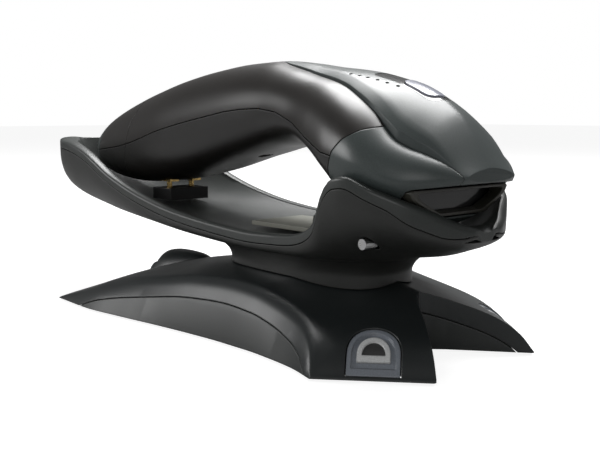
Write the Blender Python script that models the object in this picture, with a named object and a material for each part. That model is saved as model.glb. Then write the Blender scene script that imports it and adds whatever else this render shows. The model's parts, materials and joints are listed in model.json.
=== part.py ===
"""Cordless handheld barcode scanner docked in its charging cradle.

Lengths in this file are millimetres; MM turns them into Blender's metres.  X runs from the tail to
the nose of the scanner, Y across it, Z up, and the origin is on the ground under the middle.
"""

import math

import bmesh
import bpy
import numpy as np
from mathutils import Matrix, Vector

MM = 0.001
GAP = 0.3               # clearance kept between neighbouring pieces
WELL_STEPS = 5          # facets across half of the tray's well
WALL = 2.2              # moulded wall of the casings
PRODUCT = "barcode_scanner"

# ------------------------------------------------------------------ driving dimensions: scanner
MIDDLE_X = -2.25        # middle of the object's length in the drawing; it is moved to X = 0
CAP_SEAM_X = -86.0      # end cap to tail covers, at mid height
TAIL_SEAM_X = -60.0     # tail covers to handle shells
SEAM_TILT = 0.25        # the two cross seams lean forward with height
MOUTH_X = 89.0          # plane of the scan window
COVER_START_X = 17.0    # rounded rear end of the top cover
COVER_REACH_X = 90.0    # how far the handle's upper shell may run forward beside the top cover

# Outlines along the scanner, as (x, value)
TOP = [(-96, 54.5), (-94.5, 60), (-90, 64), (-81.4, 68.3), (-61.3, 74.6), (-47.6, 77.9), (-32.4, 81),
       (-14.1, 83.7), (3.7, 85.3), (17.4, 85.6), (31.5, 84.4), (42, 82.9), (50, 82), (57, 81), (65.3, 79.2),
       (73.6, 76.9), (80.7, 73.7), (87.7, 68.8), (91.2, 65), (94.9, 60.2), (97, 57.3), (99, 54.6)]
BOTTOM = [(-96, 51), (-94, 47.6), (-88, 45), (-75, 43), (-60, 42.4), (-46, 43.3), (-20, 47.9), (5.3, 54.4),
          (25.5, 58.4), (38, 58.9), (47, 57.2), (54.5, 53.2), (60.5, 47.4), (65, 41.6), (71, 38.2), (78, 37.5),
          (86, 38.6), (92, 41.6), (96, 46), (99, 50.9)]
HALF_WIDTH = [(-96, 3.4), (-94.5, 6.8), (-90, 10), (-80, 12.2), (-60, 14.6), (-30, 17.2), (0, 18.2),
              (24, 18.8), (40, 20.6), (52, 24), (62, 26.6), (72, 27.4), (80, 26), (88, 22.8), (92, 19.5),
              (96.3, 14), (98.6, 10.8), (99, 10)]
WIDEST = [(-96, 52.6), (-90, 53.6), (-65, 56.2), (-47, 59.7), (-36, 62.3), (-7, 67.2), (15, 70), (27, 70.3),
          (39, 67.8), (51, 62.6), (60, 58.6), (75, 55.6), (88, 51.6), (99, 52.3)]
# Roundness of the section above and below the widest line
CROWN = [(-96, 1), (50, 1), (66, 1.1), (80, 1.3), (99, 1.3)]
BELLY = [(-96, 1), (-60, 0.62), (10, 0.62), (36, 0.8), (62, 0.85), (78, 1.1), (88, 1.3), (99, 1)]
# Half width of the top cover's edge
COVER_EDGE = [(18, 1.6), (20, 3.2), (28, 5.6), (41, 8.4), (56, 12), (70, 16), (81, 17.6), (90, 14.5),
              (98.6, 10.8)]

# ------------------------------------------------------------------ driving dimensions: cradle
TRAY_WIDTH = [(-103.5, 9), (-102, 15.5), (-99.5, 20.4), (-95, 24), (-88, 26.4), (-78, 27.2), (0, 27), (40, 28),
              (57, 30), (70, 30.6), (80, 28.2), (88, 22.6), (91, 18.5), (94, 14), (96.5, 9.6), (98, 5.6)]
RIM = [(-103.5, 58.6), (-99, 59.2), (-93, 58.4), (-82.7, 57.4), (-71.7, 54.6), (-51.6, 46), (-30.9, 40),
       (-10.6, 36.3), (12, 34.2), (29.7, 33.4), (42, 33.9), (50, 34.6), (56, 35.8), (60, 37.6), (62.6, 40.2),
       (64.7, 46), (66.8, 49.6), (69.6, 51.9), (73.4, 52.4), (79, 50.2), (86, 47), (90, 44.6), (92, 43),
       (94, 41.2), (96.5, 39.4), (98, 38.2)]
LIP = [(-103.5, 5), (-99, 8), (-94, 9), (-86, 6), (-76, 4.4), (-60, 3.6), (50, 3.4), (62, 2.6), (82, 2.6),
       (88, 3.6), (98, 5)]
WELL = [(-103.5, 58.4), (-99.4, 58.6), (-98.2, 53), (-96.5, 47.6), (-93, 44.4), (-86, 41.6), (-75, 38.6),
        (-50, 35.6), (-29, 34), (-10, 32.8), (12, 31.4), (40, 30.6), (60, 32), (78, 33.4), (88, 35.2),
        (90.5, 37.4), (92.5, 38.6), (95.5, 38.6), (98, 37.4)]
BAND = [(-103.5, 3), (70, 3), (84, 3.4), (90, 5), (93, 4.6), (96.5, 3), (98, 1.2)]
UNDERSIDE = [(-103.5, 54.4), (-101.5, 48), (-98, 41), (-92, 36.5), (-84, 34), (-70, 31.8), (-56, 30.4),
             (-29, 28.8), (0, 27), (30, 26), (66, 26.4), (78.5, 28.6), (85, 29.6), (90, 31.2), (94.8, 33),
             (98, 35.8)]
SHELL_ROUND = [(-103.5, 0.7), (60, 0.7), (75, 0.85), (88, 1), (98, 1)]
NECK = [(21.9, 32, 34.5, 19.8), (24, 32, 35.5, 20.2), (27, 31, 40, 21.6),
        (29.8, 29, 48, 23.6)]   # height, centre x, half length, half width

SPEAKER_HOLES = [(54.5, -8), (58, -8), (61, -7.8), (64.5, -7.4), (68, -7.2), (71.5, -6.6)]
BUTTON_POCKET = (59.5, 82.6, 5.0)       # rear x, front x, half width
BUTTON_PLAN = (70.0, 81.0, 3.8)
CASING_SCREWS = (-78.0, 6.0, 79.5)
PAD_X, PAD_Z, PAD_SIZE, PAD_SIDES = -45.0, 44.1, (7.0, 4.0, 1.6), (-5.0, 5.0)
CELL_RADIUS, CELL_LENGTH, CELL_CENTRE, CELL_TILT = 9.0, 65.0, (-37.0, 0.0, 62.6), 9.0
BOARD_CENTRE, BOARD_TILT = (49.0, 0.0, 67.0), -12.0
MIRROR_AXIS = (69.5, 0.0)
MIRROR_LEVEL = 53.0

BASE_EDGE = [(-62.6, 43), (-59.7, 43.1), (-40.3, 44.1), (-19.9, 42.2), (0, 39.8), (16.4, 38.3), (30, 37.6),
             (42, 37.6), (53.8, 38.5), (64.3, 40), (74.9, 43.1)]        # half width on the ground
CREST_EDGE = [(-62.6, 42.6), (-45, 38.5), (-30, 36), (0, 33.5), (30, 32), (50, 32), (60, 33.5), (67, 36.5),
              (72.5, 40), (74.9, 42.2)]                                 # half width where the sides begin
CREST = [(-62.6, 1.2), (-50, 5.2), (-34.6, 10.3), (-5, 15.3), (9.7, 17.2), (27.3, 18), (43.9, 17),
         (52, 15.8)]
BASE_MID = [(-62.6, 5.4), (-46, 10.8), (-30.7, 15), (-9.9, 18.5), (8, 21), (20, 21.7)]
TOE_RISE = [(0, 0.8), (4.2, 6.2), (9.8, 10.2), (15.4, 12.7), (21, 14.6), (26, 16.1), (33, 18), (42, 20.4),
            (50, 21.7)]         # height of the toes by distance in from their front edge
TOE_CORNERS = ((74.9, 43.1), (99.7, 21.8))
NOTCH = [(74.8, 0), (76.4, 2.6), (80, 6.2), (99.7, 21.8), (115, 34)]
BASE_STEPS = 5          # facets across half of the base's top
BASE_PLACES = [-62.6, -54, -44, -32, -18, -2, 14, 30, 42, 51, 58, 64, 69, 73, 74.9, 79, 84, 89, 93.5, 97,
               99.2]
BAND_HEIGHT = 5.9       # depth of the top shell's edge band
HOOD = [(-54, 10.4, 14.4), (-51, 11.2, 16), (-47, 11.2, 16.6), (-40, 10, 16.8), (-33, 8, 16.6),
        (-25, 4, 15)]           # cable hood: x, half width, height
CHANNEL_HALF_WIDTH = 8.0
STAND = 0.8             # gap under the housing, filled by the rubber feet
FLOOR = 2.6
FEET = [(-40, -32), (-40, 32), (58, -29), (58, 29)]
BASE_BOSSES = [(-18, -26), (-18, 26), (50, -24), (50, 24)]
NECK_BOSSES = (3.0, 61.0)
LIGHT_X, LIGHT_Z = 76.8, 34.4
SCOOP_HALF_WIDTH, SCOOP_START, SCOOP_SIDES, SCOOP_TOP = 7.0, 1.0, 5.0, 12.6

# ------------------------------------------------------------------ colours: linear RGB, roughness, metal
PLASTIC = {
    "satin_grey": ((0.105, 0.122, 0.120), 0.42, 0.0),
    "handle_charcoal": ((0.040, 0.036, 0.033), 0.48, 0.0),
    "underside_charcoal": ((0.030, 0.027, 0.024), 0.50, 0.0),
    "cradle_grey": ((0.085, 0.092, 0.090), 0.46, 0.0),
    "cradle_dark": ((0.045, 0.046, 0.043), 0.52, 0.0),
    "base_blue_grey": ((0.042, 0.050, 0.052), 0.45, 0.0),
    "bezel_olive": ((0.095, 0.090, 0.075), 0.40, 0.0),
    "window_black": ((0.004, 0.003, 0.003), 0.08, 0.0),
    "button_lavender": ((0.34, 0.35, 0.42), 0.30, 0.0),
    "clear_insert": ((0.45, 0.50, 0.55), 0.12, 0.0),
    "rubber_black": ((0.012, 0.012, 0.012), 0.85, 0.0),
    "board_green": ((0.015, 0.080, 0.035), 0.50, 0.0),
    "steel": ((0.50, 0.50, 0.50), 0.30, 1.0),
    "gold": ((0.75, 0.52, 0.20), 0.25, 1.0),
    "cell_wrap": ((0.030, 0.090, 0.240), 0.40, 0.0),
    "mirror": ((0.85, 0.87, 0.90), 0.03, 1.0),
    "pale_plate": ((0.30, 0.30, 0.27), 0.50, 0.0),
    "socket_black": ((0.015, 0.015, 0.016), 0.40, 0.0),
}


def curve_at(points, x):
    """Smooth height of a hand-chosen outline at x: a cubic through its points that never overshoots."""
    xs = np.array([p[0] for p in points], float)
    zs = np.array([p[1] for p in points], float)
    x = min(max(x, xs[0]), xs[-1])
    steps = np.diff(xs)
    slopes = np.diff(zs) / steps
    tangents = np.concatenate(([slopes[0]], np.zeros(len(slopes) - 1), [slopes[-1]]))
    for i in range(1, len(slopes)):
        before, after = slopes[i - 1], slopes[i]
        if before * after > 0:
            tangents[i] = 2 * before * after / (before + after)
    i = min(int(np.searchsorted(xs, x, side="right")) - 1, len(steps) - 1)
    t = (x - xs[i]) / steps[i]
    blend = (2 * t**3 - 3 * t**2 + 1, t**3 - 2 * t**2 + t, 3 * t**2 - 2 * t**3, t**3 - t**2)
    return float(blend[0] * zs[i] + blend[1] * steps[i] * tangents[i]
                 + blend[2] * zs[i + 1] + blend[3] * steps[i] * tangents[i + 1])


def stations(start, stop, step):
    """Evenly spread places from start to stop, about step apart."""
    return np.linspace(start, stop, max(2, int(round((stop - start) / step)) + 1))


# ------------------------------------------------------------------ scene and mesh helpers
def clear_scene():
    for item in list(bpy.data.objects):
        bpy.data.objects.remove(item, do_unlink=True)


def make_material(name):
    colour, roughness, metallic = PLASTIC[name]
    material = bpy.data.materials.get(name) or bpy.data.materials.new(name)
    material.use_nodes = True
    shader = material.node_tree.nodes["Principled BSDF"]
    shader.inputs["Base Color"].default_value = (*colour, 1.0)
    shader.inputs["Roughness"].default_value = roughness
    shader.inputs["Metallic"].default_value = metallic
    return material


def make_body(name, x, y, z):
    """An empty on a moving body's joint axis; the body's pieces are its children."""
    empty = bpy.data.objects.new(name, None)
    empty.location = ((x - MIDDLE_X) * MM, y * MM, z * MM)
    PARTS.objects.link(empty)
    return empty


def from_bmesh(name, mesh):
    bmesh.ops.recalc_face_normals(mesh, faces=mesh.faces)
    data = bpy.data.meshes.new(name)
    mesh.to_mesh(data)
    mesh.free()
    item = bpy.data.objects.new(name, data)
    PARTS.objects.link(item)
    return item


def loft(name, rings):
    """A closed solid through rings of equally many points, capped at both ends."""
    mesh = bmesh.new()
    rows = [[mesh.verts.new(Vector(p) * MM) for p in ring] for ring in rings]
    count = len(rings[0])
    for low, high in zip(rows, rows[1:]):
        for i in range(count):
            j = (i + 1) % count
            mesh.faces.new((low[i], low[j], high[j], high[i]))
    mesh.faces.new(rows[0])
    mesh.faces.new(rows[-1])
    return from_bmesh(name, mesh)


def prism(name, outline, low, high, axis):
    """A flat outline, extruded along "y" (outline in x and z) or "z" (outline in x and y)."""
    if axis == "y":
        rings = [[(x, level, z) for x, z in outline] for level in (low, high)]
    else:
        rings = [[(x, y, level) for x, y in outline] for level in (low, high)]
    return loft(name, rings)


def box(name, centre, size):
    mesh = bmesh.new()
    bmesh.ops.create_cube(mesh, size=1.0)
    bmesh.ops.scale(mesh, vec=Vector(size) * MM, verts=mesh.verts)
    bmesh.ops.translate(mesh, vec=Vector(centre) * MM, verts=mesh.verts)
    return from_bmesh(name, mesh)


def cylinder(name, centre, radius, depth, axis="z", tip_radius=None, sides=20):
    mesh = bmesh.new()
    tip = radius if tip_radius is None else tip_radius
    bmesh.ops.create_cone(mesh, cap_ends=True, segments=sides, radius1=radius * MM, radius2=tip * MM,
                          depth=depth * MM)
    turn = {"z": Matrix(), "x": Matrix.Rotation(math.pi / 2, 4, "Y"),
            "y": Matrix.Rotation(-math.pi / 2, 4, "X")}
    bmesh.ops.transform(mesh, matrix=turn[axis], verts=mesh.verts)
    bmesh.ops.translate(mesh, vec=Vector(centre) * MM, verts=mesh.verts)
    return from_bmesh(name, mesh)


def tilt(item, centre, degrees):
    """Turn a solid about a crosswise axis through centre, nose up for positive angles."""
    pivot = Matrix.Translation(Vector(centre) * MM)
    item.data.transform(pivot @ Matrix.Rotation(-math.radians(degrees), 4, "Y") @ pivot.inverted())
    return item


def combine(item, tool, operation="DIFFERENCE", keep_tool=False):
    """Cut, join or intersect item with tool, and settle the result in item's mesh."""
    modifier = item.modifiers.new("combine", "BOOLEAN")
    modifier.operation = operation
    modifier.object = tool
    modifier.solver = "EXACT"
    bpy.context.view_layer.update()
    settled = bpy.data.meshes.new_from_object(item.evaluated_get(bpy.context.evaluated_depsgraph_get()))
    item.modifiers.clear()
    item.data = settled
    if not keep_tool:
        bpy.data.objects.remove(tool, do_unlink=True)
    return item


def duplicate(item, name):
    copy = bpy.data.objects.new(name, item.data.copy())
    PARTS.objects.link(copy)
    return copy


def finish(item, material, body):
    """Weld a piece's seams, centre it, give it its material and body, and shade it."""
    mesh = bmesh.new()
    mesh.from_mesh(item.data)
    bmesh.ops.remove_doubles(mesh, verts=mesh.verts, dist=0.000001)
    bmesh.ops.translate(mesh, vec=Vector((-MIDDLE_X, 0, 0)) * MM, verts=mesh.verts)
    mesh.to_mesh(item.data)
    mesh.free()
    item.data.materials.clear()
    item.data.materials.append(make_material(material))
    item.data.shade_smooth()
    item.data.set_sharp_from_angle(angle=math.radians(32))
    if body is not None:
        item.parent = body
        item.matrix_parent_inverse = body.matrix_basis.inverted()
    return item


def mirrored(half):
    """Complete a ring given from top centre to bottom centre on the +Y side."""
    return half + [(x, -y, z) for x, y, z in reversed(half[1:-1])]


# ------------------------------------------------------------------ scanner casing
def skin_ring(x, inset=0.0, upper=7, lower=7):
    """Cross-section of the scanner at x, moved inwards by inset."""
    top = curve_at(TOP, x) - inset
    low = curve_at(BOTTOM, x) + inset
    wide = curve_at(HALF_WIDTH, x) - inset
    level = curve_at(WIDEST, x)
    crown, belly = curve_at(CROWN, x), curve_at(BELLY, x)
    half = []
    for k in range(upper + 1):
        u = math.pi / 2 * k / upper
        half.append((x, wide * math.sin(u) ** crown, level + (top - level) * max(math.cos(u), 0.0) ** crown))
    for k in range(1, lower + 1):
        u = math.pi / 2 * k / lower
        half.append((x, wide * max(math.cos(u), 0.0) ** belly, level - (level - low) * math.sin(u) ** belly))
    half[0] = (x, 0.0, top)
    half[-1] = (x, 0.0, low)
    return mirrored(half)


def scanner_blank():
    places = [-96, -95, -93, -90, *stations(-85, 25, 11), *stations(32, 92, 6), 94.5, 96.8, 98.4, 99]
    blank = loft("blank", [skin_ring(float(x)) for x in places])
    hollow = loft("hollow", [skin_ring(float(x), WALL) for x in stations(-92.5, 86.4, 11)])
    mouth = prism("mouth", [(MOUTH_X, 49.3), (99, 50.8), (112, 51.4), (112, 20), (84, 20), (86, 37),
                            (MOUTH_X, 40.6)], -40, 40, "y")
    combine(blank, mouth)
    return combine(blank, hollow)


def seam_height(x):
    """Height of the long side seam between the upper and lower handle shells."""
    return curve_at(WIDEST, x)


def side_region(points, low=-45.0, high=45.0):
    return prism("region", points, low, high, "y")


def split(blank, name, regions, material, body):
    """The part of the blank casing that lies in every region."""
    piece = duplicate(blank, name)
    for region in regions:
        combine(piece, region, "INTERSECT")
    return finish(piece, material, body)


def band_between(x_low, x_high):
    """Side outline between two leaning cross seams, or open-ended where a limit is None."""
    z_low, z_high = 20.0, 110.0
    mid = 57.0
    left = -140.0 if x_low is None else x_low
    right = 140.0 if x_high is None else x_high
    lean_left = 0.0 if x_low is None else SEAM_TILT
    lean_right = 0.0 if x_high is None else SEAM_TILT
    return [(left + lean_left * (z_low - mid), z_low), (right + lean_right * (z_low - mid), z_low),
            (right + lean_right * (z_high - mid), z_high), (left + lean_left * (z_high - mid), z_high)]


def long_seam(gap, x_low=-110.0, x_high=70.0):
    """Points of the side seam, moved up by gap."""
    return [(float(x), seam_height(float(x)) + gap) for x in stations(x_low, x_high, 9)]


def head_rear_edge(gap):
    """Side outline of the head housing's rear edge: from the crease corner round the cheek to the chin."""
    edge = [(84, 67.6), (79, 66), (73, 64.4), (69, 62), (66, 58.6), (64.2, 54), (63, 48), (62.4, 42),
            (62.2, 30)]
    return [(x + gap, z - 0.3 * gap) for x, z in edge]


def cover_outline(grow):
    """Plan of the top cover: a teardrop that runs out in the nose creases."""
    edge = [(float(x), curve_at(COVER_EDGE, float(x)) + grow) for x in
            (18, 19.5, 23, 28, 34, 41, 48, 56, 63, 70, 76, 81, 86, 90, 94, 98.6)]
    start = [(COVER_START_X - grow, 0.0)]
    end = [(112, 5 + grow)]
    right = start + edge + end
    return right + [(x, -y) for x, y in reversed(right[1:])]


def cover_space(grow):
    """The block that the top cover is cut from: its plan outline, down to the edge of the mouth."""
    block = prism("block", cover_outline(grow), 20, 120, "z")
    side = [(-10, 79), (40, 73), (62, 71), (80, 60), (MOUTH_X - 2, 50.5), (112, 45), (112, 120), (-10, 120)]
    return combine(block, side_region([(x, z - grow) for x, z in side]), "INTERSECT")


def window_outline(grow):
    """Front outline of the bezel: a shallow bowl with three straight facets."""
    half = [(21.0 + grow, 49.0 + grow), (19.4 + grow, 46.3), (10.4 + grow / 2, 41.4 - grow)]
    return half + [(-y, z) for y, z in reversed(half)]


def window_cutter():
    return loft("window_cutter", [[(x, y, z) for y, z in window_outline(GAP)] for x in (84, 96)])


def rounded_plan(x_low, x_high, half_width, grow, corner=2.5):
    """Plan of a rectangle with cut corners."""
    low, high, wide = x_low - grow, x_high + grow, half_width + grow
    return [(low, wide - corner), (low + corner, wide), (high - corner, wide), (high, wide - corner),
            (high, corner - wide), (high - corner, -wide), (low + corner, -wide), (low, corner - wide)]


def casing_pieces(scanner):
    blank = scanner_blank()
    half = GAP / 2
    cover = duplicate(blank, "top_cover")
    combine(cover, cover_space(-half), "INTERSECT")
    for x, y in SPEAKER_HOLES:
        combine(cover, cylinder("hole", (x, y, 80), 0.55, 14, sides=8))
    combine(cover, prism("pocket", rounded_plan(*BUTTON_POCKET, 0.0), 60, 90, "z"))
    combine(cover, window_cutter())
    finish(cover, "satin_grey", scanner)

    rest = duplicate(blank, "rest")
    combine(rest, cover_space(half))
    combine(rest, window_cutter())
    for x in CASING_SCREWS:
        level = curve_at(BOTTOM, x)
        combine(rest, cylinder("boss", (x, 0, level + 3), 4.0, 4.8, sides=16), "UNION")
        combine(rest, cylinder("counterbore", (x, 0, level - 3), 2.7, 2 * 5.3, sides=16))
        combine(rest, cylinder("hole", (x, 0, level), 1.5, 14, sides=12))
    for y in PAD_SIDES:
        combine(rest, box("slot", (PAD_X, y, PAD_Z), (PAD_SIZE[0] + 0.6, PAD_SIZE[1] + 0.6, 6)))

    head = [*head_rear_edge(half), (140, 30), (140, 110), (84, 110)]
    split(rest, "head_housing", [side_region(head)], "satin_grey", scanner)
    behind_head = [*head_rear_edge(-half), (-140, 30), (-140, 110), (84 - half, 110)]
    combine(rest, side_region(behind_head), "INTERSECT")

    upper = [*long_seam(half), (COVER_REACH_X, seam_height(70.0)), (COVER_REACH_X, 110), (-110, 110)]
    lower = [*long_seam(-half), (70, 20), (-110, 20)]
    handle = band_between(TAIL_SEAM_X + half, None)
    tail = band_between(CAP_SEAM_X + half, TAIL_SEAM_X - half)
    split(rest, "handle_upper_shell", [side_region(upper), side_region(handle)], "handle_charcoal", scanner)
    split(rest, "handle_lower_shell", [side_region(lower), side_region(handle)], "underside_charcoal", scanner)
    split(rest, "tail_upper_cover", [side_region(upper), side_region(tail)], "handle_charcoal", scanner)
    split(rest, "tail_lower_cover", [side_region(lower), side_region(tail)], "underside_charcoal", scanner)
    split(rest, "tail_end_cap", [side_region(band_between(None, CAP_SEAM_X - half))], "satin_grey", scanner)
    for leftover in (rest, blank):
        bpy.data.objects.remove(leftover, do_unlink=True)


# ------------------------------------------------------------------ scanner front, trigger and insides
def screw(name, x, y, z_head, length, body, up=1, head_radius=2.3, shaft_radius=1.1):
    """A cross-head screw driven upwards: its head's outer face is at z_head."""
    head = cylinder(name, (x, y, z_head + 0.8 * up), head_radius, 1.6, sides=16)
    combine(head, cylinder("shaft", (x, y, z_head + up * (1.2 + length / 2)), shaft_radius, length, sides=10),
            "UNION")
    for size in ((2.6, 0.6, 1.2), (0.6, 2.6, 1.2)):
        combine(head, box("slot", (x, y, z_head), size))
    return finish(head, "steel", body)


def skin_patch(name, outline, outer_inset, inner_inset):
    """A piece of the scanner's skin between two depths, inside a plan outline on its top."""
    places = [float(x) for x in stations(56, 88, 4)]
    patch = loft(name, [skin_ring(x, outer_inset) for x in places])
    combine(patch, loft("under", [skin_ring(x, inner_inset) for x in [54.0, *places, 90.0]]))
    return combine(patch, prism("plan", outline, 60, 95, "z"), "INTERSECT")


def scanner_front(scanner):
    bezel = loft("window_bezel", [[(x, y, z) for y, z in window_outline(0)] for x in (86.0, MOUTH_X + 0.5)])
    combine(bezel, loft("hole", [[(x, 0.84 * y, 48.6 + 0.78 * (z - 49)) for y, z in window_outline(0)]
                                 for x in (80, 95)]))
    finish(bezel, "bezel_olive", scanner)
    pane = loft("scan_window", [[(x, y, z) for y, z in window_outline(0)] for x in (84.4, 85.6)])
    finish(pane, "window_black", scanner)


def trigger(scanner, button_body):
    surround = skin_patch("button_surround", rounded_plan(*BUTTON_POCKET, -GAP), 0.25, 2.2)
    combine(surround, prism("hole", rounded_plan(*BUTTON_PLAN, GAP, 2.0), 60, 90, "z"))
    finish(surround, "window_black", scanner)
    button = skin_patch("trigger_button", rounded_plan(*BUTTON_PLAN, 0.0, 2.0), -0.3, 2.4)
    combine(button, cylinder("stem", (75, 0, 71.4), 1.6, 6.4, sides=12), "UNION")
    finish(button, "button_lavender", button_body)
    switch = box("trigger_switch", (75, 0, 64.9), (6, 6, 3.6))
    combine(switch, cylinder("plunger", (75, 0, 66.4), 1.5, 1.4, sides=12), "UNION")
    finish(switch, "socket_black", scanner)


def electronics(scanner):
    board = tilt(box("main_circuit_board", BOARD_CENTRE, (60, 22, 1.4)), BOARD_CENTRE, BOARD_TILT)
    finish(board, "board_green", scanner)
    finish(cylinder("beeper", (50, 0, 76.2), 6.0, 3.6), "socket_black", scanner)
    radio = box("radio_module", (13, 0, 76.4), (24, 15, 1.2))
    combine(radio, box("can", (13, 0, 78), (18, 12, 2.4)), "UNION")
    finish(radio, "steel", scanner)
    for y, side in zip(PAD_SIDES, ("right", "left")):
        finish(box(f"charge_pad_{side}", (PAD_X, y, PAD_Z), PAD_SIZE), "gold", scanner)


def scan_engine(scanner, mirror_body):
    (x, y), level = MIRROR_AXIS, MIRROR_LEVEL
    frame = box("scan_engine_frame", (x + 5.0, 0, level - 6.4), (19, 21, 1.8))
    combine(frame, box("back", (x - 3.7, 0, level - 1), (1.8, 21, 12)), "UNION")
    combine(frame, cylinder("post", (x + 1.5, 0, level - 5.6), 1.4, 2.0, sides=12), "UNION")
    finish(frame, "steel", scanner)
    laser = cylinder("laser_module", (x + 9.5, -9.0, level), 3.3, 9, "x")
    combine(laser, cylinder("barrel", (x + 3.6, -9.0, level), 2.1, 4, "x"), "UNION")
    combine(laser, box("saddle", (x + 9.5, -9.0, level - 3.9), (7, 5, 2.6)), "UNION")
    finish(laser, "gold", scanner)
    diode = box("photodiode_board", (x + 13.9, 0, level + 3), (1.2, 10, 7))
    combine(diode, box("diode", (x + 12.9, 0, level + 2.6), (1.6, 5, 4)), "UNION")
    finish(diode, "board_green", scanner)
    finish(box("oscillating_mirror", (x + 0.9, y, level + 0.6), (1.2, 11, 8.4)), "mirror", mirror_body)
    finish(box("mirror_magnet", (x - 0.5, y, level + 0.6), (1.0, 4, 4)), "steel", mirror_body)
    coil = cylinder("mirror_drive_coil", (x - 2.0, 0, level + 0.6), 3.0, 1.2, "x")
    combine(coil, cylinder("bore", (x - 2.0, 0, level + 0.6), 1.2, 4, "x", sides=12))
    finish(coil, "gold", scanner)


def helix(name, start, radius, wire, turns, rise):
    """A coil spring along +X, as a tube on its path."""
    path = bpy.data.curves.new(name, "CURVE")
    path.dimensions = "3D"
    path.bevel_depth = wire * MM
    path.bevel_resolution = 1
    path.use_fill_caps = True
    spline = path.splines.new("POLY")
    count = int(turns * 10) + 1
    spline.points.add(count - 1)
    for i in range(count):
        angle = 2 * math.pi * i / 10
        place = Vector((start[0] + rise * i / (count - 1), start[1] + radius * math.cos(angle),
                        start[2] + radius * math.sin(angle)))
        spline.points[i].co = (*(place * MM), 1.0)
    guide = bpy.data.objects.new("guide", path)
    PARTS.objects.link(guide)
    bpy.context.view_layer.update()
    data = bpy.data.meshes.new_from_object(guide.evaluated_get(bpy.context.evaluated_depsgraph_get()))
    bpy.data.objects.remove(guide, do_unlink=True)
    item = bpy.data.objects.new(name, data)
    PARTS.objects.link(item)
    return item


def battery(scanner):
    x, y, z = CELL_CENTRE
    cell = cylinder("battery_cell", CELL_CENTRE, CELL_RADIUS, CELL_LENGTH, "x", sides=24)
    combine(cell, cylinder("button", (x + CELL_LENGTH / 2 + 0.5, y, z), 2.8, 2.0, "x", sides=16), "UNION")
    finish(tilt(cell, CELL_CENTRE, CELL_TILT), "cell_wrap", scanner)
    cradle = cylinder("battery_holder", (x, y, z), 10.8, 50, "x", sides=24)
    combine(cradle, cylinder("bore", (x, y, z), 9.4, 60, "x", sides=24))
    combine(cradle, box("open_top", (x, y, z + 8), (60, 30, 14)))
    finish(tilt(cradle, CELL_CENTRE, CELL_TILT), "socket_black", scanner)
    front = box("battery_contact", (x + CELL_LENGTH / 2 + 2.4, y, z), (0.8, 9, 9))
    finish(tilt(front, CELL_CENTRE, CELL_TILT), "gold", scanner)
    spring = helix("battery_spring", (x - CELL_LENGTH / 2 - 7, y, z), 4.2, 0.45, 3.5, 6.0)
    finish(tilt(spring, CELL_CENTRE, CELL_TILT), "steel", scanner)


# ------------------------------------------------------------------ cradle tray
def tray_half_width(x):
    return curve_at(TRAY_WIDTH, x)


def well_width(x):
    return max(tray_half_width(x) - curve_at(LIP, x), 0.35 * tray_half_width(x))


def tray_section(x, inner=WELL_STEPS):
    """Top of the tray's liner at x, from the middle out to the rim: points (y, z)."""
    rim = curve_at(RIM, x)
    floor = curve_at(WELL, x)
    wide, well = tray_half_width(x), well_width(x)
    points = []
    for k in range(inner + 1):
        s = k / inner
        points.append((well * s, floor + (rim - 0.5 - floor) * s**3.2))
    middle = (well + wide) / 2
    return points + [(middle, rim), (wide - 0.5, rim - 0.3), (wide, rim - 1.1)]


def liner_ring(x):
    """Closed section of the liner: its top, its outer band and its underside."""
    top = tray_section(x)
    rim, wide = curve_at(RIM, x), tray_half_width(x)
    drop = rim - curve_at(BAND, x)
    skin = 1.9
    inner_wall = wide - 2.4
    under = [(min(y, inner_wall), z - skin - 0.9 * (y / well_width(x)) ** 2) for y, z in top[:WELL_STEPS + 1]]
    ceiling = rim - 0.5 - skin - 0.9
    half = [(x, y, z) for y, z in top]
    half += [(x, wide, drop), (x, inner_wall + 0.4, drop), (x, inner_wall + 0.4, max(ceiling, drop + 0.05))]
    half += [(x, y, min(z, ceiling)) for y, z in reversed(under)]
    return mirrored(half)


def shell_ring(x, inset=0.0, raise_top=0.0, lower=6):
    """Closed section of the tray's lower shell, flat on top at the seam."""
    seam = curve_at(RIM, x) - curve_at(BAND, x) - GAP + raise_top
    low = min(curve_at(UNDERSIDE, x) + inset, seam - 0.8)
    wide = tray_half_width(x) - inset
    half = [(x, 0.0, seam), (x, wide * 0.5, seam), (x, wide, seam)]
    power = curve_at(SHELL_ROUND, x)
    for k in range(1, lower + 1):
        u = math.pi / 2 * k / lower
        half.append((x, wide * max(math.cos(u), 0.0) ** power, seam - (seam - low) * math.sin(u) ** power))
    half[-1] = (x, 0.0, low)
    return mirrored(half)


def clearance_ring(x):
    """Section of the space above the lower shell that the liner fills, deeper where the liner is steep."""
    ring = liner_ring(x)
    bottom = [(y, z) for _, y, z in ring[:len(ring) // 2 + 1]][-WELL_STEPS - 1:]
    steepness = max(abs(curve_at(line, x + 1) - curve_at(line, x - 1)) for line in (RIM, WELL))
    drop = 2.5 * GAP + 0.25 * steepness
    wall = tray_half_width(x) - 1.7
    half = [(x, 0.0, 90.0), (x, wall, 90.0), (x, wall, bottom[0][1] - drop)]
    half += [(x, min(y, wall - 0.1), z - drop) for y, z in bottom]
    return mirrored(half)


def neck_ring(level, centre, length, width, inset=0.0, sides=22):
    ring = []
    for i in range(sides):
        angle = 2 * math.pi * i / sides
        c, s = math.cos(angle), math.sin(angle)
        ring.append((centre + (length - inset) * math.copysign(abs(c) ** 0.85, c),
                     (width - inset) * math.copysign(abs(s) ** 0.85, s), level))
    return ring


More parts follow.
